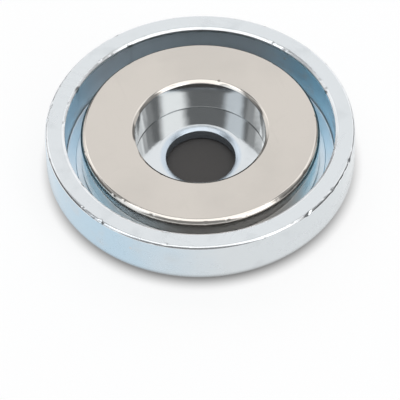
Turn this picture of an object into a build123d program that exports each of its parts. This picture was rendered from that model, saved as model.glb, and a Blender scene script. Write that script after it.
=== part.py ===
from build123d import *
import os

# A pot magnet: a ring magnet seated in a pressed steel cup, with a hole through both for a screw.
# Origin: centre of the base. +Z is the axis, towards the open face that holds. Lengths in millimetres.

# Cup
cup_diameter = 25.0
cup_height = 4.5
wall_thickness = 1.6
floor_thickness = 1.2
base_corner_radius = 1.45
rim_outer_chamfer = 0.18
rim_inner_chamfer = 0.15

# Screw hole through the cup's floor, rounded over inside and chamfered at the back
screw_hole_diameter = 5.6
screw_hole_lead_in = 0.35
screw_hole_back_chamfer = 0.2

# Ring magnet, and the fits that place it in the cup
groove_width = 1.25
magnet_recess = 0.25
screw_head_ledge = 2.5
magnet_outer_edge_radius = 0.5
magnet_bore_edge_radius = 0.28
magnet_seat_chamfer = 0.25

# Raised seat that the ring stands on, a little wider than the ring
seat_margin = 0.45
seat_step = 0.1

# Worked out from the sizes above
cup_radius = cup_diameter / 2
cavity_radius = cup_radius - wall_thickness
magnet_radius = cavity_radius - groove_width
magnet_top = cup_height - magnet_recess
screw_hole_radius = screw_hole_diameter / 2
magnet_bore_radius = screw_hole_radius + screw_head_ledge
seat_radius = magnet_radius + seat_margin
groove_floor = floor_thickness - seat_step

os.makedirs("parts", exist_ok=True)

# The cup is one pressed piece: a turned section with its seat and groove, then each edge finished.
with BuildPart() as cup:
    with BuildSketch(Plane.XZ):
        with BuildLine():
            Polyline(
                (screw_hole_radius, 0),
                (cup_radius, 0),
                (cup_radius, cup_height),
                (cavity_radius, cup_height),
                (cavity_radius, groove_floor),
                (seat_radius, groove_floor),
                (seat_radius, floor_thickness),
                (screw_hole_radius, floor_thickness),
                close=True,
            )
        make_face()
    revolve(axis=Axis.Z)

    base = cup.faces().filter_by(GeomType.PLANE).sort_by(Axis.Z)[0]
    fillet(base.edges().sort_by(SortBy.RADIUS)[-1], base_corner_radius)

    base = cup.faces().filter_by(GeomType.PLANE).sort_by(Axis.Z)[0]
    chamfer(base.edges().sort_by(SortBy.RADIUS)[0], screw_hole_back_chamfer)

    seat = cup.faces().filter_by(GeomType.PLANE).sort_by(Axis.Z)[-2]
    fillet(seat.edges().sort_by(SortBy.RADIUS)[0], screw_hole_lead_in)

    rim = cup.faces().filter_by(GeomType.PLANE).sort_by(Axis.Z)[-1]
    chamfer(rim.edges().sort_by(SortBy.RADIUS)[-1], rim_outer_chamfer)

    rim = cup.faces().filter_by(GeomType.PLANE).sort_by(Axis.Z)[-1]
    chamfer(rim.edges().sort_by(SortBy.RADIUS)[0], rim_inner_chamfer)

cup.part.label = "cup"
export_step(cup.part, "parts/cup.step")

# The magnet is one pressed and sintered ring that stands on the seat. Tumbling has rounded the edges
# of its open face, and a small chamfer breaks the two edges that meet the seat.
with BuildPart() as magnet:
    with BuildSketch(Plane.XZ) as ring_section:
        with Locations((magnet_bore_radius, floor_thickness)):
            Rectangle(
                magnet_radius - magnet_bore_radius,
                magnet_top - floor_thickness,
                align=(Align.MIN, Align.MIN),
            )
        chamfer(ring_section.vertices().group_by(Axis.Y)[0], magnet_seat_chamfer)
        open_corners = ring_section.vertices().group_by(Axis.Y)[-1].sort_by(Axis.X)
        fillet(open_corners[-1], magnet_outer_edge_radius)
        open_corners = ring_section.vertices().group_by(Axis.Y)[-1].sort_by(Axis.X)
        fillet(open_corners[0], magnet_bore_edge_radius)
    revolve(axis=Axis.Z)

magnet.part.label = "magnet"
export_step(magnet.part, "parts/magnet.step")
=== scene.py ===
import math
import bpy
from mathutils import Matrix, Vector


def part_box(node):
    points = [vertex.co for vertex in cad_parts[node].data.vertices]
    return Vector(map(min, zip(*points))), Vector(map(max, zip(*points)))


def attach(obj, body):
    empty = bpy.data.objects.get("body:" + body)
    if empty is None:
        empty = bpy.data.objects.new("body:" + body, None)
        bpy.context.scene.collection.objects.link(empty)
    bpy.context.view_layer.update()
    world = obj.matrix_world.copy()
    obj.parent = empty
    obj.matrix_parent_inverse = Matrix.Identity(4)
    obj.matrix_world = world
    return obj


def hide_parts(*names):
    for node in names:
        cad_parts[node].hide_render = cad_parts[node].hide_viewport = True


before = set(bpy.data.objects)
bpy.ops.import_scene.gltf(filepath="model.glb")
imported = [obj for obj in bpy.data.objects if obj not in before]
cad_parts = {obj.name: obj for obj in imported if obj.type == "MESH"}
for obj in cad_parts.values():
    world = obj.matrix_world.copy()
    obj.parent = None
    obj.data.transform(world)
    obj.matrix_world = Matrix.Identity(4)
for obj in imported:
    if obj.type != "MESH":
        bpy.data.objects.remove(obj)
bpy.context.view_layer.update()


# ---------------------------------------------------------------------------------------------
# Cup. Pressed from steel sheet, so its base corner is large and round, then turned across the rim
# and on the raised seat inside. Plated with bright zinc and dipped in a clear bluish passivate.
# A screw through its base holds it.
# ---------------------------------------------------------------------------------------------
MM = 0.001
cup_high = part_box("cup")[1]
magnet_low, magnet_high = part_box("magnet")
cup_radius = cup_high.x
cup_height = cup_high.z
cup_wall = 1.6 * MM
cup_floor = magnet_low.z
groove_radius = cup_radius - cup_wall
base_corner = 1.45 * MM
rim_outer_edge = 0.28 * MM
rim_slope_width = 0.24 * MM
rim_slope_drop = 0.12 * MM
rim_roll = 0.35 * MM
rim_turn = 0.05 * MM
groove_corner = 0.12 * MM
seat_radius = 10.1 * MM
seat_step = 0.1 * MM
seat_edge = 0.03 * MM
hole_radius = 2.8 * MM
hole_roll = 1.6 * MM
hole_turn = 0.08 * MM
hole_slope_width = 0.42 * MM
hole_slope_drop = 0.16 * MM
hole_back_break = 0.2 * MM
hole_back_edge = 0.05 * MM
nick_depth = 0.08 * MM
nick_reach = 0.40 * MM
nick_grain = 2300.0
nick_seed = 5.0
nick_starts = 0.67
nick_full = 0.76
clear_of_nicks = 1.5
clear_on_rim = 1.25
round_segments = 512
corner_steps = 9
turning_ring = 1.0 * MM
same_point = 0.0005 * MM


def add_up(tree, given, terms):
    """The sum of some of the tree's named inputs, each taken the number of times that terms says."""
    total = None
    for name, times in terms.items():
        term = tree.nodes.new("ShaderNodeMath")
        term.operation = "MULTIPLY_ADD"
        tree.links.new(given.outputs[name], term.inputs[0])
        term.inputs[1].default_value = times
        term.inputs[2].default_value = 0.0
        if total is not None:
            tree.links.new(total, term.inputs[2])
        total = term.outputs[0]
    return total


def turning_tree(name, sizes, corners):
    """A tree that draws a section from named sizes, rounds each corner and turns it about the axis.

    Each corner is its distance from the axis, its height and its rounding, each as terms to add up.
    """
    tree = bpy.data.node_groups.new(name, "GeometryNodeTree")
    tree.is_modifier = True
    for size in sizes:
        socket = tree.interface.new_socket(size, in_out="INPUT", socket_type="NodeSocketFloat")
        socket.subtype = "DISTANCE"
    for count in ("Segments", "Corner steps"):
        tree.interface.new_socket(count, in_out="INPUT", socket_type="NodeSocketInt")
    for plain in ("Nick grain", "Nick seed"):
        tree.interface.new_socket(plain, in_out="INPUT", socket_type="NodeSocketFloat")
    tree.interface.new_socket("Finish", in_out="INPUT", socket_type="NodeSocketMaterial")
    tree.interface.new_socket("Turned piece", in_out="OUTPUT", socket_type="NodeSocketGeometry")
    given = tree.nodes.new("NodeGroupInput")
    result = tree.nodes.new("NodeGroupOutput")

    def node(kind, **settings):
        made = tree.nodes.new(kind)
        for key, value in settings.items():
            setattr(made, key, value)
        return made

    def maths(operation, *values):
        made = node("ShaderNodeMath", operation=operation)
        for value, socket in zip(values, made.inputs):
            if isinstance(value, bpy.types.NodeSocket):
                tree.links.new(value, socket)
            else:
                socket.default_value = value
        return made.outputs[0]

    points = node("GeometryNodePoints")
    points.inputs["Count"].default_value = len(corners)
    which = node("GeometryNodeInputIndex")
    place = node("GeometryNodeIndexSwitch", data_type="VECTOR")
    rounding = node("GeometryNodeIndexSwitch", data_type="FLOAT")
    for switch in (place, rounding):
        while len(switch.index_switch_items) < len(corners):
            switch.index_switch_items.new()
        tree.links.new(which.outputs[0], switch.inputs[0])
    for number, (across, up, softness) in enumerate(corners, start=1):
        spot = node("ShaderNodeCombineXYZ")
        tree.links.new(add_up(tree, given, across), spot.inputs["X"])
        tree.links.new(add_up(tree, given, up), spot.inputs["Y"])
        tree.links.new(spot.outputs[0], place.inputs[number])
        tree.links.new(add_up(tree, given, softness), rounding.inputs[number])

    put = node("GeometryNodeSetPosition")
    tree.links.new(points.outputs[0], put.inputs["Geometry"])
    tree.links.new(place.outputs[0], put.inputs["Position"])
    outline = node("GeometryNodePointsToCurves")
    tree.links.new(put.outputs[0], outline.inputs["Points"])
    closed = node("GeometryNodeSetSplineCyclic")
    closed.inputs["Cyclic"].default_value = True
    tree.links.new(outline.outputs[0], closed.inputs["Geometry"])
    fillet = node("GeometryNodeFilletCurve", mode="POLY")
    fillet.inputs["Limit Radius"].default_value = True
    tree.links.new(closed.outputs[0], fillet.inputs["Curve"])
    tree.links.new(given.outputs["Corner steps"], fillet.inputs["Count"])
    tree.links.new(rounding.outputs[0], fillet.inputs["Radius"])

    # the section is turned about a thin ring, so the ring's radius comes off first
    ring = node("GeometryNodeCurvePrimitiveCircle", mode="RADIUS")
    ring.inputs["Radius"].default_value = turning_ring
    tree.links.new(given.outputs["Segments"], ring.inputs["Resolution"])
    upright = node("GeometryNodeSetCurveNormal", mode="Z_UP")
    tree.links.new(ring.outputs[0], upright.inputs["Curve"])
    shift = node("GeometryNodeTransform")
    shift.inputs["Translation"].default_value = (-turning_ring, 0.0, 0.0)
    shift.inputs["Rotation"].default_value = (math.pi, 0.0, 0.0)
    tree.links.new(fillet.outputs[0], shift.inputs["Geometry"])
    turned = node("GeometryNodeCurveToMesh")
    tree.links.new(upright.outputs[0], turned.inputs["Curve"])
    tree.links.new(shift.outputs[0], turned.inputs["Profile Curve"])

    # a corner on a straight run has no rounding, and the copies that the rounding made fall together
    merged = node("GeometryNodeMergeByDistance")
    merged.inputs["Distance"].default_value = same_point
    tree.links.new(turned.outputs[0], merged.inputs["Geometry"])
    outward = node("GeometryNodeFlipFaces")
    tree.links.new(merged.outputs[0], outward.inputs["Mesh"])
    smooth = node("GeometryNodeSetShadeSmooth")
    tree.links.new(outward.outputs[0], smooth.inputs["Geometry"])

    # small nicks, pressed into both edges of a flat ring, or into one edge where it has no width
    where = node("GeometryNodeInputPosition")
    axes = node("ShaderNodeSeparateXYZ")
    tree.links.new(where.outputs[0], axes.inputs[0])
    reach = maths("SQRT", maths("ADD", maths("POWER", axes.outputs["X"], 2.0),
                                maths("POWER", axes.outputs["Y"], 2.0)))
    from_middle = maths("ABSOLUTE", maths("SUBTRACT", reach, given.outputs["Ring middle"]))
    beside = maths("SUBTRACT", from_middle, given.outputs["Ring half width"])
    below = maths("SUBTRACT", axes.outputs["Z"], given.outputs["Ring height"])
    off_edge = maths("SQRT", maths("ADD", maths("POWER", beside, 2.0), maths("POWER", below, 2.0)))
    near_edge = node("ShaderNodeMapRange", interpolation_type="SMOOTHSTEP")
    tree.links.new(off_edge, near_edge.inputs["Value"])
    tree.links.new(given.outputs["Nick reach"], near_edge.inputs["From Min"])
    near_edge.inputs["From Max"].default_value = 0.0
    chance = node("ShaderNodeTexNoise", noise_dimensions="4D")
    tree.links.new(where.outputs[0], chance.inputs["Vector"])
    tree.links.new(given.outputs["Nick seed"], chance.inputs["W"])
    tree.links.new(given.outputs["Nick grain"], chance.inputs["Scale"])
    chance.inputs["Detail"].default_value = 0.0
    few = node("ShaderNodeMapRange", interpolation_type="SMOOTHSTEP")
    few.inputs["From Min"].default_value = nick_starts
    few.inputs["From Max"].default_value = nick_full
    tree.links.new(chance.outputs["Fac"], few.inputs["Value"])
    depth = maths("MULTIPLY", maths("MULTIPLY", near_edge.outputs[0], few.outputs[0]),
                  given.outputs["Nick depth"])
    facing = node("GeometryNodeInputNormal")
    push = node("ShaderNodeVectorMath", operation="SCALE")
    tree.links.new(facing.outputs[0], push.inputs[0])
    tree.links.new(maths("MULTIPLY", depth, -1.0), push.inputs["Scale"])
    nicked = node("GeometryNodeSetPosition")
    tree.links.new(smooth.outputs[0], nicked.inputs["Geometry"])
    tree.links.new(push.outputs[0], nicked.inputs["Offset"])
    whole = node("GeometryNodeRealizeInstances")
    tree.links.new(nicked.outputs[0], whole.inputs["Geometry"])
    finish = node("GeometryNodeSetMaterial")
    tree.links.new(whole.outputs[0], finish.inputs["Geometry"])
    tree.links.new(given.outputs["Finish"], finish.inputs["Material"])
    tree.links.new(finish.outputs[0], result.inputs["Turned piece"])
    return tree


def turned_piece(name, tree, values):
    """Runs the tree once with the values given and returns its result as a plain mesh."""
    blank = bpy.data.objects.new(name + "_blank", bpy.data.meshes.new(name + "_blank"))
    bpy.context.scene.collection.objects.link(blank)
    modifier = blank.modifiers.new("turning", "NODES")
    modifier.node_group = tree
    for socket in tree.interface.items_tree:
        if socket.in_out == "INPUT":
            modifier[socket.identifier] = values[socket.name]
    ready = blank.evaluated_get(bpy.context.evaluated_depsgraph_get())
    mesh = bpy.data.meshes.new_from_object(ready)
    blank.modifiers.remove(modifier)
    bpy.data.objects.remove(blank)
    mesh.name = name
    piece = bpy.data.objects.new(name, mesh)
    bpy.context.scene.collection.objects.link(piece)
    even = piece.modifiers.new("even shading", "WEIGHTED_NORMAL")
    even.mode = "FACE_AREA"
    even.weight = 50
    even.keep_sharp = False
    return piece


def shader_node(material, kind, **settings):
    """Adds a node to a material, with its settings, and returns it."""
    made = material.node_tree.nodes.new(kind)
    for key, value in settings.items():
        setattr(made, key, value)
    return made


def feed(material, value, socket):
    """Links another node's output to a socket, or sets the socket's own value."""
    if isinstance(value, bpy.types.NodeSocket):
        material.node_tree.links.new(value, socket)
    else:
        socket.default_value = value


def work_out(material, operation, *values):
    """One Math node."""
    made = shader_node(material, "ShaderNodeMath", operation=operation)
    for value, socket in zip(values, made.inputs):
        feed(material, value, socket)
    return made.outputs[0]


def both(material, first, second):
    """The product: full only where both shares are full."""
    return work_out(material, "MULTIPLY", first, second)


def either(material, first, second):
    """The larger of two shares."""
    return work_out(material, "MAXIMUM", first, second)


def scaled(material, value, times):
    """A value taken a number of times."""
    return work_out(material, "MULTIPLY", value, times)


def ramp_between(material, value, start, end):
    """0 up to start, 1 from end on, and smooth between them."""
    made = shader_node(material, "ShaderNodeMapRange", interpolation_type="SMOOTHSTEP")
    feed(material, value, made.inputs["Value"])
    feed(material, start, made.inputs["From Min"])
    feed(material, end, made.inputs["From Max"])
    return made.outputs[0]


def towards(material, x, y, heading):
    """How far a place lies from the axis along a level heading."""
    return work_out(material, "ADD", scaled(material, x, heading[0]), scaled(material, y, heading[1]))


def blend_colours(material, share, first, second):
    """Blends two colours by a share from 0 to 1."""
    made = shader_node(material, "ShaderNodeMix", data_type="RGBA")
    feed(material, share, made.inputs[0])
    feed(material, first, made.inputs[6])
    feed(material, second, made.inputs[7])
    return made.outputs[2]


def blend_values(material, share, first, second):
    """Blends two numbers by a share from 0 to 1."""
    made = shader_node(material, "ShaderNodeMix", data_type="FLOAT")
    feed(material, share, made.inputs[0])
    feed(material, first, made.inputs[2])
    feed(material, second, made.inputs[3])
    return made.outputs[0]


def new_finish(name):
    """An empty metal finish with its shader, and the place, radius and X, Y, Z that its patterns use."""
    finish = bpy.data.materials.new(name)
    finish.use_nodes = True
    shader = finish.node_tree.nodes["Principled BSDF"]
    shader.inputs["Metallic"].default_value = 1.0
    place = shader_node(finish, "ShaderNodeTexCoord").outputs["Object"]
    split = shader_node(finish, "ShaderNodeSeparateXYZ")
    feed(finish, place, split.inputs[0])
    across = work_out(finish, "POWER", split.outputs["X"], 2.0)
    along = work_out(finish, "POWER", split.outputs["Y"], 2.0)
    radius = work_out(finish, "SQRT", work_out(finish, "ADD", across, along))
    return finish, shader, place, radius, split.outputs


def cloud(material, place, grain, detail=2.0, stretch=(1.0, 1.0, 1.0)):
    """Soft noise about 0.5, read from Object coordinates."""
    fitted = shader_node(material, "ShaderNodeMapping")
    feed(material, place, fitted.inputs["Vector"])
    fitted.inputs["Scale"].default_value = stretch
    made = shader_node(material, "ShaderNodeTexNoise")
    feed(material, fitted.outputs[0], made.inputs["Vector"])
    made.inputs["Scale"].default_value = grain
    made.inputs["Detail"].default_value = detail
    return made.outputs["Fac"]


def scratches(material, place, grain, turn, rarity):
    """Thin straight lines in one direction, here and there: 1 in a line, 0 beside it."""
    line_stretch = (0.03, 1.0, 1.0)
    line_edge = 0.03
    patch_grain = 0.09 * grain
    patch_edge = (0.50, 0.60)
    turned = shader_node(material, "ShaderNodeMapping")
    feed(material, place, turned.inputs["Vector"])
    turned.inputs["Rotation"].default_value = (0.0, 0.0, math.radians(turn))
    lines = cloud(material, turned.outputs[0], grain, 0.0, line_stretch)
    drawn = ramp_between(material, lines, 0.5 + rarity, 0.5 + rarity + line_edge)
    patches = cloud(material, turned.outputs[0], patch_grain, 1.0)
    return both(material, drawn, ramp_between(material, patches, *patch_edge))


def specks(material, place, grain, size, share):
    """Small round spots at random: 1 on a spot, 0 elsewhere."""
    cells = shader_node(material, "ShaderNodeTexVoronoi")
    feed(material, place, cells.inputs["Vector"])
    cells.inputs["Scale"].default_value = grain
    spot = ramp_between(material, cells.outputs["Distance"], size, 0.5 * size)
    lot = shader_node(material, "ShaderNodeSeparateColor")
    feed(material, cells.outputs["Color"], lot.inputs[0])
    chosen = work_out(material, "LESS_THAN", lot.outputs[0], share)
    return both(material, spot, chosen)


def rings(material, radius, rise, grain):
    """Noise that changes only with the radius and the height, as the marks of turning do."""
    made = shader_node(material, "ShaderNodeTexNoise", noise_dimensions="1D")
    feed(material, work_out(material, "ADD", radius, rise), made.inputs["W"])
    made.inputs["Scale"].default_value = grain
    made.inputs["Detail"].default_value = 3.0
    return made.outputs["Fac"]


def relief(material, shader, height, depth):
    """Gives the shader a bump whose full height is depth."""
    made = shader_node(material, "ShaderNodeBump")
    feed(material, height, made.inputs["Height"])
    made.inputs["Distance"].default_value = depth
    feed(material, made.outputs[0], shader.inputs["Normal"])


zinc, zinc_shader, zinc_place, zinc_radius, (zinc_x, zinc_y, zinc_rise) = new_finish("bright zinc plate")
zinc_rim = (0.735, 0.765, 0.785, 1.0)
zinc_side = (0.69, 0.725, 0.745, 1.0)
zinc_side_blue_reflection = (0.51, 0.66, 0.77, 1.0)
zinc_wall_back = (0.72, 0.79, 0.85, 1.0)
zinc_wall_blue_reflection = (0.47, 0.765, 0.96, 1.0)
zinc_wall_bluest_reflection = (0.43, 0.79, 1.0, 1.0)
zinc_groove_floor = (0.79, 0.88, 0.95, 1.0)
zinc_groove_front_shade = (0.64, 0.66, 0.68, 1.0)
zinc_hole_shade_and_reflection = (0.63, 0.71, 0.79, 1.0)
zinc_edge_highlight = (0.90, 0.92, 0.935, 1.0)
zinc_stain = (0.60, 0.63, 0.65, 1.0)
rim_roughness = 0.18
groove_roughness = 0.35
recess_roughness = 0.10
hole_roughness = 0.24
inner_edge_roughness = 0.22
zinc_uneven = 0.08
zinc_line_dulls = 0.10
zinc_stain_shows = 0.45
zinc_relief = 0.010 * MM
turning_stands = 0.10
zinc_line_sinks = 0.16
zinc_pit_sinks = 0.8

# the zones of the finish: where each starts and where it is full; a heading is (x, y)
side_across = (cup_radius - 0.25 * MM, cup_radius - 0.10 * MM)
side_below = (cup_height - 0.10 * MM, cup_height - 0.25 * MM)
cool_heading = (-0.85, -0.53)
cool_zone = (8.0 * MM, 15.0 * MM)
cool_ragged = 6.0 * MM
groove_outside_magnet = (magnet_high.x - 0.65 * MM, magnet_high.x - 0.35 * MM)
groove_inside_wall = (groove_radius + 0.3 * MM, groove_radius + 0.1 * MM)
groove_below = (cup_height - 0.08 * MM, cup_height - 0.30 * MM)
blue_left = (-7.5 * MM, -10.9 * MM)
bluest_right = (4.5 * MM, 9.8 * MM)
bluest_back = (-8.5 * MM, -3.0 * MM)
low_zone = (cup_floor + 0.4 * MM, cup_floor)
front_heading = (0.34, -0.94)
front_zone = (6.0 * MM, 9.8 * MM)
hole_zone = (hole_radius + 0.6 * MM, hole_radius + 0.3 * MM)
lip_zone = (hole_radius + 0.65 * MM, hole_radius + 0.35 * MM)
recess_zone = (5.8 * MM, 5.5 * MM)
outer_edge_zone = (cup_radius - 0.26 * MM, cup_radius - 0.18 * MM)
inner_edge_zone = (groove_radius + 0.28 * MM, groove_radius + 0.18 * MM)
edge_above = (cup_height - 0.20 * MM, cup_height - 0.14 * MM)
edge_below_flat = (cup_height - 0.002 * MM, cup_height - 0.010 * MM)
inner_slope_across = (groove_radius + 0.42 * MM, groove_radius + 0.28 * MM)
inner_slope_above = (cup_height - 0.5 * MM, cup_height - 0.3 * MM)
open_to_touch = (groove_radius, groove_radius + 0.2 * MM)
stain_zone = (0.52, 0.74)

# the drawn side is darker than the turned rim, and bluer towards one front corner: a painted reflection
sides = both(zinc, ramp_between(zinc, zinc_radius, *side_across), ramp_between(zinc, zinc_rise, *side_below))
ragged = scaled(zinc, cloud(zinc, zinc_place, grain=180.0, detail=3.0), cool_ragged)
towards_corner = work_out(zinc, "ADD", towards(zinc, zinc_x, zinc_y, cool_heading), ragged)
side_skin = blend_colours(zinc, ramp_between(zinc, towards_corner, *cool_zone), zinc_side, zinc_side_blue_reflection)
skin = blend_colours(zinc, sides, zinc_rim, side_skin)

# the groove's passivate is bluish and its floor is pale; the stronger blue on its left and right
# walls is a painted reflection, and the grey front is painted shade under the ring's edge
in_groove = both(zinc, ramp_between(zinc, zinc_radius, *groove_outside_magnet),
                 ramp_between(zinc, zinc_radius, *groove_inside_wall))
in_groove = both(zinc, in_groove, ramp_between(zinc, zinc_rise, *groove_below))
groove_skin = blend_colours(zinc, ramp_between(zinc, zinc_x, *blue_left), zinc_wall_back, zinc_wall_blue_reflection)
bluest = both(zinc, ramp_between(zinc, zinc_x, *bluest_right), ramp_between(zinc, zinc_y, *bluest_back))
groove_skin = blend_colours(zinc, bluest, groove_skin, zinc_wall_bluest_reflection)
groove_skin = blend_colours(zinc, ramp_between(zinc, zinc_rise, *low_zone), groove_skin, zinc_groove_floor)
towards_front = towards(zinc, zinc_x, zinc_y, front_heading)
groove_skin = blend_colours(zinc, ramp_between(zinc, towards_front, *front_zone),
                            groove_skin, zinc_groove_front_shade)
skin = blend_colours(zinc, in_groove, skin, groove_skin)
# the screw hole and its lip are darker and bluer: painted shade in the hole, a painted bluish reflection on
# the lip
skin = blend_colours(zinc, ramp_between(zinc, zinc_radius, *hole_zone), skin, zinc_hole_shade_and_reflection)

# the two edges of the rim are painted lighter: a painted highlight
rim_edges = either(zinc, ramp_between(zinc, zinc_radius, *outer_edge_zone),
                   ramp_between(zinc, zinc_radius, *inner_edge_zone))
edge_slope = both(zinc, ramp_between(zinc, zinc_rise, *edge_above),
                  ramp_between(zinc, zinc_rise, *edge_below_flat))
skin = blend_colours(zinc, both(zinc, rim_edges, edge_slope), skin, zinc_edge_highlight)

# handling marks: cloudy stains, fine scratches across the rim and side, and small dark pits
stains = ramp_between(zinc, cloud(zinc, zinc_place, grain=420.0, detail=4.0), *stain_zone)
zinc_lines = either(zinc, scratches(zinc, zinc_place, grain=2600.0, turn=24.0, rarity=0.16),
                    scratches(zinc, zinc_place, grain=2200.0, turn=-63.0, rarity=0.17))
zinc_lines = both(zinc, zinc_lines, ramp_between(zinc, zinc_radius, *open_to_touch))
pits = specks(zinc, zinc_place, grain=850.0, size=0.16, share=0.10)
marks = either(zinc, scaled(zinc, stains, zinc_stain_shows), pits)
skin = blend_colours(zinc, marks, skin, zinc_stain)
feed(zinc, skin, zinc_shader.inputs["Base Color"])

# the turned floor of the recess is the brightest part, and the pressed wall of the groove the dullest
roughness = blend_values(zinc, in_groove, rim_roughness, groove_roughness)
roughness = blend_values(zinc, ramp_between(zinc, zinc_radius, *recess_zone), roughness, recess_roughness)
roughness = blend_values(zinc, ramp_between(zinc, zinc_radius, *lip_zone), roughness, hole_roughness)
inner_edge = both(zinc, ramp_between(zinc, zinc_radius, *inner_slope_across),
                  ramp_between(zinc, zinc_rise, *inner_slope_above))
roughness = blend_values(zinc, inner_edge, roughness, inner_edge_roughness)
uneven = work_out(zinc, "SUBTRACT", cloud(zinc, zinc_place, grain=600.0, detail=4.0), 0.5)
roughness = work_out(zinc, "ADD", roughness, scaled(zinc, uneven, zinc_uneven))
roughness = work_out(zinc, "ADD", roughness, scaled(zinc, zinc_lines, zinc_line_dulls))
feed(zinc, roughness, zinc_shader.inputs["Roughness"])

# turning marks and the soft peel of the plating stand out, scratches and pits are sunk
turning_marks = rings(zinc, zinc_radius, zinc_rise, grain=9000.0)
surface = work_out(zinc, "ADD", scaled(zinc, turning_marks, turning_stands),
                   cloud(zinc, zinc_place, grain=900.0))
surface = work_out(zinc, "SUBTRACT", surface, scaled(zinc, zinc_lines, zinc_line_sinks))
surface = work_out(zinc, "SUBTRACT", surface, scaled(zinc, pits, zinc_pit_sinks))
relief(zinc, zinc_shader, surface, zinc_relief)

cup_sizes = {
    "Cup radius": cup_radius,
    "Cup height": cup_height,
    "Wall": cup_wall,
    "Floor": cup_floor,
    "Base corner": base_corner,
    "Rim outer edge": rim_outer_edge,
    "Rim slope width": rim_slope_width,
    "Rim slope drop": rim_slope_drop,
    "Rim roll": rim_roll,
    "Rim turn": rim_turn,
    "Groove corner": groove_corner,
    "Seat radius": seat_radius,
    "Seat step": seat_step,
    "Seat edge": seat_edge,
    "Hole radius": hole_radius,
    "Hole roll": hole_roll,
    "Hole turn": hole_turn,
    "Hole slope width": hole_slope_width,
    "Hole slope drop": hole_slope_drop,
    "Hole back break": hole_back_break,
    "Hole back edge": hole_back_edge,
    "Nick depth": nick_depth,
    "Nick reach": nick_reach,
    "Ring middle": cup_radius - 0.5 * cup_wall,
    "Ring half width": 0.5 * cup_wall,
    "Ring height": cup_height,
}

# the corners that have no rounding keep the nicks from drawing long dents down the flat runs
cup_corners = [
    ({"Hole radius": 1, "Hole back break": 1}, {"Cup height": 0}, {"Hole back edge": 1}),
    ({"Cup radius": 1}, {"Cup height": 0}, {"Base corner": 1}),
    ({"Cup radius": 1}, {"Cup height": 1, "Nick reach": -clear_of_nicks}, {"Nick reach": 0}),
    ({"Cup radius": 1}, {"Cup height": 1}, {"Rim outer edge": 1}),
    ({"Cup radius": 1, "Nick reach": -clear_on_rim}, {"Cup height": 1}, {"Nick reach": 0}),
    ({"Cup radius": 1, "Wall": -1, "Nick reach": clear_on_rim}, {"Cup height": 1}, {"Nick reach": 0}),
    ({"Cup radius": 1, "Wall": -1, "Rim slope width": 1}, {"Cup height": 1}, {"Rim roll": 1}),
    ({"Cup radius": 1, "Wall": -1}, {"Cup height": 1, "Rim slope drop": -1}, {"Rim turn": 1}),
    ({"Cup radius": 1, "Wall": -1}, {"Cup height": 1, "Nick reach": -clear_of_nicks}, {"Nick reach": 0}),
    ({"Cup radius": 1, "Wall": -1}, {"Floor": 1, "Seat step": -1}, {"Groove corner": 1}),
    ({"Seat radius": 1}, {"Floor": 1, "Seat step": -1}, {"Seat edge": 1}),
    ({"Seat radius": 1}, {"Floor": 1}, {"Seat edge": 1}),
    ({"Hole radius": 1, "Hole slope width": 1}, {"Floor": 1}, {"Hole roll": 1}),
    ({"Hole radius": 1}, {"Floor": 1, "Hole slope drop": -1}, {"Hole turn": 1}),
    ({"Hole radius": 1}, {"Hole back break": 1}, {"Hole back edge": 1}),
]
cup = turned_piece(
    "cup_turned",
    turning_tree("turning of the cup", cup_sizes, cup_corners),
    {**cup_sizes, "Segments": round_segments, "Corner steps": corner_steps,
     "Nick grain": nick_grain, "Nick seed": nick_seed, "Finish": zinc},
)
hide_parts("cup")
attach(cup, "root")


# ---------------------------------------------------------------------------------------------
# Ring magnet. Sintered neodymium, ground flat on both faces and tumbled so that its edges are
# rounded, then plated with nickel to a warm mirror. It stands on the raised seat of the cup.
# ---------------------------------------------------------------------------------------------
magnet_radius = magnet_high.x
magnet_top = magnet_high.z
magnet_bore = 5.27 * MM
magnet_outer_edge = 0.50 * MM
magnet_bore_roll = 0.45 * MM
magnet_bore_turn = 0.06 * MM
magnet_bore_slope_width = 0.28 * MM
magnet_bore_slope_drop = 0.185 * MM
magnet_seat_edge = 0.25 * MM
magnet_bore_seat_edge = 0.10 * MM
chip_depth = 0.035 * MM
chip_reach = 0.55 * MM
chip_grain = 1900.0
chip_seed = 8.0

nickel, nickel_shader, nickel_place, nickel_radius, nickel_axes = new_finish("nickel plate")
nickel_y = nickel_axes["Y"]
nickel_rise = nickel_axes["Z"]
nickel_bright = (0.665, 0.62, 0.57, 1.0)
nickel_smudged = (0.62, 0.58, 0.535, 1.0)
nickel_bore = (0.63, 0.63, 0.62, 1.0)
nickel_edge_highlight = (0.85, 0.80, 0.74, 1.0)
nickel_pit = (0.36, 0.33, 0.30, 1.0)
nickel_fleck = (0.95, 0.95, 0.95, 1.0)
nickel_roughness = 0.055
nickel_smudge_dulls = 0.05
nickel_line_dulls = 0.12
nickel_fleck_dulls = 0.5
nickel_relief = 0.004 * MM
nickel_ground_stretch = (1.0, 0.04, 1.0)
nickel_ground_stands = 0.04
nickel_line_sinks = 0.3

# the zones of the finish: where each starts and where it is full
face_above = (magnet_top - 0.05 * MM, magnet_top - 0.005 * MM)
edge_below_face = (magnet_top - 0.003 * MM, magnet_top - 0.015 * MM)
outer_edge_across = (magnet_radius - 0.55 * MM, magnet_radius - 0.49 * MM)
outer_edge_front = (1.0 * MM, -4.0 * MM)
bore_edge_across = (magnet_bore + 0.58 * MM, magnet_bore + 0.53 * MM)
bore_edge_back = (0.0, 3.5 * MM)
bore_across = (magnet_bore + 0.09 * MM, magnet_bore + 0.03 * MM)
bore_below = (magnet_top - 0.13 * MM, magnet_top - 0.19 * MM)
smudge_zone = (0.40, 0.72)
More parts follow.
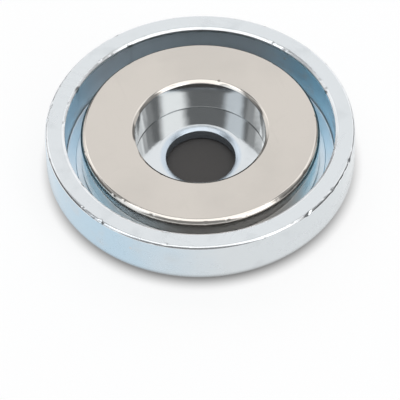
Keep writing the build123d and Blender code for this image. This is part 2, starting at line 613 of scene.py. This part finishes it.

# a warm mirror, smudged by handling, with a painted highlight on the front of the outer edge and the
# back of the bore's edge
smudges = ramp_between(nickel, cloud(nickel, nickel_place, grain=160.0, detail=4.0), *smudge_zone)
nickel_skin = blend_colours(nickel, smudges, nickel_bright, nickel_smudged)
outer_edge = both(nickel, ramp_between(nickel, nickel_radius, *outer_edge_across),
                  ramp_between(nickel, nickel_y, *outer_edge_front))
bore_edge = both(nickel, ramp_between(nickel, nickel_radius, *bore_edge_across),
                 ramp_between(nickel, nickel_y, *bore_edge_back))
painted_edge_highlight = both(nickel, either(nickel, outer_edge, bore_edge),
                 ramp_between(nickel, nickel_rise, *edge_below_face))
nickel_skin = blend_colours(nickel, painted_edge_highlight, nickel_skin, nickel_edge_highlight)

# the bore is cooler, with bright flecks, and the whole ring has a few dark pits
in_bore = both(nickel, ramp_between(nickel, nickel_radius, *bore_across),
               ramp_between(nickel, nickel_rise, *bore_below))
nickel_skin = blend_colours(nickel, in_bore, nickel_skin, nickel_bore)
nickel_pits = specks(nickel, nickel_place, grain=620.0, size=0.12, share=0.06)
nickel_skin = blend_colours(nickel, nickel_pits, nickel_skin, nickel_pit)
flecks = both(nickel, specks(nickel, nickel_place, grain=900.0, size=0.14, share=0.10), in_bore)
nickel_skin = blend_colours(nickel, flecks, nickel_skin, nickel_fleck)
feed(nickel, nickel_skin, nickel_shader.inputs["Base Color"])

# smudges, scratches on the face and flecks are duller than the mirror
nickel_lines = either(nickel, scratches(nickel, nickel_place, grain=3400.0, turn=-38.0, rarity=0.18),
                      scratches(nickel, nickel_place, grain=2900.0, turn=71.0, rarity=0.19))
nickel_lines = both(nickel, nickel_lines, ramp_between(nickel, nickel_rise, *face_above))
dull = work_out(nickel, "MULTIPLY_ADD", smudges, nickel_smudge_dulls, nickel_roughness)
dull = work_out(nickel, "ADD", dull, scaled(nickel, nickel_lines, nickel_line_dulls))
dull = work_out(nickel, "ADD", dull, scaled(nickel, flecks, nickel_fleck_dulls))
feed(nickel, dull, nickel_shader.inputs["Roughness"])

# tumbling left it faintly wavy, grinding drew fine lines along Y, and scratches and pits are sunk
tumbled = cloud(nickel, nickel_place, grain=700.0)
ground = cloud(nickel, nickel_place, grain=6000.0, detail=1.0, stretch=nickel_ground_stretch)
nickel_surface = work_out(nickel, "ADD", tumbled, scaled(nickel, ground, nickel_ground_stands))
nickel_surface = work_out(nickel, "SUBTRACT", nickel_surface, scaled(nickel, nickel_lines, nickel_line_sinks))
nickel_surface = work_out(nickel, "SUBTRACT", nickel_surface, nickel_pits)
relief(nickel, nickel_shader, nickel_surface, nickel_relief)

magnet_sizes = {
    "Radius": magnet_radius,
    "Bore": magnet_bore,
    "Underside": cup_floor,
    "Face": magnet_top,
    "Outer edge": magnet_outer_edge,
    "Bore roll": magnet_bore_roll,
    "Bore turn": magnet_bore_turn,
    "Bore slope width": magnet_bore_slope_width,
    "Bore slope drop": magnet_bore_slope_drop,
    "Seated edge": magnet_seat_edge,
    "Seated bore edge": magnet_bore_seat_edge,
    "Nick depth": chip_depth,
    "Nick reach": chip_reach,
    "Ring middle": magnet_radius,
    "Ring half width": 0.0,
    "Ring height": magnet_top,
}
magnet_corners = [
    ({"Bore": 1}, {"Underside": 1}, {"Seated bore edge": 1}),
    ({"Radius": 1}, {"Underside": 1}, {"Seated edge": 1}),
    ({"Radius": 1}, {"Face": 1, "Nick reach": -clear_of_nicks}, {"Nick reach": 0}),
    ({"Radius": 1}, {"Face": 1}, {"Outer edge": 1}),
    ({"Radius": 1, "Nick reach": -clear_of_nicks}, {"Face": 1}, {"Nick reach": 0}),
    ({"Bore": 1, "Bore slope width": 1}, {"Face": 1}, {"Bore roll": 1}),
    ({"Bore": 1}, {"Face": 1, "Bore slope drop": -1}, {"Bore turn": 1}),
]
magnet = turned_piece(
    "ring_magnet",
    turning_tree("grinding of the ring", magnet_sizes, magnet_corners),
    {**magnet_sizes, "Segments": round_segments, "Corner steps": corner_steps,
     "Nick grain": chip_grain, "Nick seed": chip_seed, "Finish": nickel},
)
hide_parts("magnet")
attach(magnet, "root")


# ---------------------------------------------------------------------------------------------
# Bench top that the magnet lies on: a plain white sheet, with a white room round it. Both look
# white to the camera, the sheet also in the metal. The shadow under the cup is cast, and also painted.
# ---------------------------------------------------------------------------------------------
bench_half = 3.0
sheet_colour = (0.22, 0.22, 0.22, 1.0)
sheet_painted_shadow = (0.115, 0.11, 0.107, 1.0)
sheet_clear_of_cup = (cup_radius - base_corner, cup_radius + 0.8 * MM)
sheet_white_near = 0.82
sheet_white_far = 0.95
sheet_far = (0.2, 1.2)
bench_mesh = bpy.data.meshes.new("bench_top")
bench_corners = [(-bench_half, -bench_half, 0), (bench_half, -bench_half, 0),
                 (bench_half, bench_half, 0), (-bench_half, bench_half, 0)]
bench_mesh.from_pydata(bench_corners, [], [(0, 1, 2, 3)])
bench = bpy.data.objects.new("bench_top", bench_mesh)
bpy.context.scene.collection.objects.link(bench)

sheet = bpy.data.materials.new("white sheet")
sheet.use_nodes = True
sheet_shader = sheet.node_tree.nodes["Principled BSDF"]
sheet_shader.inputs["Roughness"].default_value = 1.0
sheet_shader.inputs["Specular IOR Level"].default_value = 0.0
ray = shader_node(sheet, "ShaderNodeLightPath")
seen = either(sheet, ray.outputs["Is Camera Ray"], ray.outputs["Is Glossy Ray"])
from_axis = shader_node(sheet, "ShaderNodeVectorMath", operation="LENGTH")
feed(sheet, shader_node(sheet, "ShaderNodeTexCoord").outputs["Object"], from_axis.inputs[0])
# under the cup and round its base the sheet is painted dark and does not glow: a painted shadow
lit = ramp_between(sheet, from_axis.outputs["Value"], *sheet_clear_of_cup)
feed(sheet, blend_colours(sheet, lit, sheet_painted_shadow, sheet_colour), sheet_shader.inputs["Base Color"])
level_white = blend_values(sheet, ramp_between(sheet, from_axis.outputs["Value"], *sheet_far),
                           sheet_white_near, sheet_white_far)
glow = shader_node(sheet, "ShaderNodeEmission")
feed(sheet, both(sheet, both(sheet, seen, lit), level_white), glow.inputs["Strength"])
white_sheet = shader_node(sheet, "ShaderNodeAddShader")
feed(sheet, sheet_shader.outputs[0], white_sheet.inputs[0])
feed(sheet, glow.outputs[0], white_sheet.inputs[1])
feed(sheet, white_sheet.outputs[0], sheet.node_tree.nodes["Material Output"].inputs["Surface"])
bench_mesh.materials.append(sheet)

# the room is grey to the metal, and darker low down on its left and right
room_grey = (0.24, 0.245, 0.25, 1.0)
room_dark_share = 0.45
room_dark_sideways = (0.84, 0.94)
room_dark_below = (0.66, 0.45)
room = bpy.data.worlds.new("room")
room.use_nodes = True
room_light = room.node_tree.nodes["Background"]
room_light.inputs["Color"].default_value = room_grey
heading = shader_node(room, "ShaderNodeSeparateXYZ")
feed(room, shader_node(room, "ShaderNodeTexCoord").outputs["Generated"], heading.inputs[0])
level_reach = work_out(room, "SQRT", work_out(room, "ADD",
                                              work_out(room, "POWER", heading.outputs["X"], 2.0),
                                              work_out(room, "POWER", heading.outputs["Y"], 2.0)))
sideways = work_out(room, "DIVIDE", work_out(room, "ABSOLUTE", heading.outputs["X"]), level_reach)
dark_sides = both(room, ramp_between(room, sideways, *room_dark_sideways),
                  ramp_between(room, heading.outputs["Z"], *room_dark_below))
feed(room, blend_values(room, dark_sides, 1.0, room_dark_share), room_light.inputs["Strength"])
room_white = shader_node(room, "ShaderNodeBackground")
room_white.inputs["Color"].default_value = (1.0, 1.0, 1.0, 1.0)
room_mix = shader_node(room, "ShaderNodeMixShader")
feed(room, shader_node(room, "ShaderNodeLightPath").outputs["Is Camera Ray"], room_mix.inputs[0])
feed(room, room_light.outputs[0], room_mix.inputs[1])
feed(room, room_white.outputs[0], room_mix.inputs[2])
feed(room, room_mix.outputs[0], room.node_tree.nodes["World Output"].inputs["Surface"])
bpy.context.scene.world = room


# ---------------------------------------------------------------------------------------------
# Studio lights: a wide panel behind the magnet with a reflector on each side, one panel overhead,
# a softbox on each side in front, and small fills at the left and right. The camera's own side is
# left dark, which draws the dark bands in the plating.
# ---------------------------------------------------------------------------------------------
panel_distance = 0.6


def soft_panel(name, azimuth, elevation, width, height, brightness, fades, tint=(1.0, 1.0, 1.0)):
    """A lamp that faces the magnet and fades to its sides and to its top and bottom.

    Azimuth is counted from +X towards +Y, in degrees; fades are shares of the width and height.
    """
    lamp = bpy.data.lights.new(name, "AREA")
    lamp.shape = "RECTANGLE"
    lamp.size = width
    lamp.size_y = height
    lamp.energy = brightness * math.pi * width * height
    lamp.color = tint
    lamp.use_nodes = True
    split = shader_node(lamp, "ShaderNodeSeparateXYZ")
    feed(lamp, shader_node(lamp, "ShaderNodeNewGeometry").outputs["Parametric"], split.inputs[0])
    soft_edges = [
        ramp_between(lamp, work_out(lamp, "PINGPONG", split.outputs[side], 0.5), 0.0, edge)
        for side, edge in zip(("X", "Y"), fades)
    ]
    feed(lamp, both(lamp, *soft_edges), lamp.node_tree.nodes["Emission"].inputs["Strength"])
    holder = bpy.data.objects.new(name, lamp)
    turn, rise = math.radians(azimuth), math.radians(elevation)
    away = Vector((math.cos(turn) * math.cos(rise), math.sin(turn) * math.cos(rise), math.sin(rise)))
    holder.location = away * panel_distance
    holder.rotation_mode = "QUATERNION"
    holder.rotation_quaternion = away.to_track_quat("Z", "Y")
    holder.visible_camera = False
    bpy.context.scene.collection.objects.link(holder)


soft_panel("back_panel", azimuth=81, elevation=36,
           width=0.80, height=0.78, brightness=0.76, fades=(0.06, 0.06))
soft_panel("back_left_reflector", azimuth=138, elevation=33,
           width=0.32, height=0.50, brightness=0.74, fades=(0.2, 0.2))
soft_panel("back_right_reflector", azimuth=29, elevation=33,
           width=0.16, height=0.50, brightness=0.42, fades=(0.2, 0.2))
soft_panel("left_softbox", azimuth=204.5, elevation=38,
           width=0.36, height=0.74, brightness=0.88, fades=(0.3, 0.25), tint=(0.88, 0.94, 1.0))
soft_panel("right_softbox", azimuth=319, elevation=38,
           width=0.48, height=0.74, brightness=1.34, fades=(0.3, 0.25))
soft_panel("overhead", azimuth=270, elevation=85,
           width=0.48, height=0.51, brightness=1.0, fades=(0.06, 0.06))
soft_panel("left_top", azimuth=188, elevation=62,
           width=0.20, height=0.16, brightness=1.7, fades=(0.3, 0.3))
soft_panel("right_top", azimuth=352, elevation=62,
           width=0.20, height=0.16, brightness=1.7, fades=(0.3, 0.3))
soft_panel("left_fill", azimuth=165, elevation=50,
           width=0.22, height=0.16, brightness=0.26, fades=(0.3, 0.3))
soft_panel("right_fill", azimuth=15, elevation=50,
           width=0.22, height=0.16, brightness=0.16, fades=(0.3, 0.3))


# ---------------------------------------------------------------------------------------------
# Camera, looking down on the holding face from the front, about halfway between level and upright.
# Its long lens keeps the round rims close to true ellipses.
# ---------------------------------------------------------------------------------------------
camera_height_angle = 49.743
camera_side_turn = -0.034
camera_roll = -1.414
camera_distance = 381.32 * MM
camera_aim = Vector((-0.145 * MM, 0.0, -4.331 * MM))
camera_data = bpy.data.cameras.new("camera")
camera_data.lens = 419.0
camera_data.sensor_width = 36.0
camera_data.clip_start = 0.02
camera_data.clip_end = 20.0
camera = bpy.data.objects.new("camera", camera_data)
rise, side = math.radians(camera_height_angle), math.radians(camera_side_turn)
back = Vector((math.sin(side) * math.cos(rise), -math.cos(side) * math.cos(rise), math.sin(rise)))
camera.location = camera_aim + back * camera_distance
camera.rotation_mode = "QUATERNION"
level = back.to_track_quat("Z", "Y")
camera.rotation_quaternion = level @ Matrix.Rotation(math.radians(camera_roll), 3, "Z").to_quaternion()
bpy.context.scene.collection.objects.link(camera)
bpy.context.scene.camera = camera

bpy.context.scene.view_settings.view_transform = "Standard"
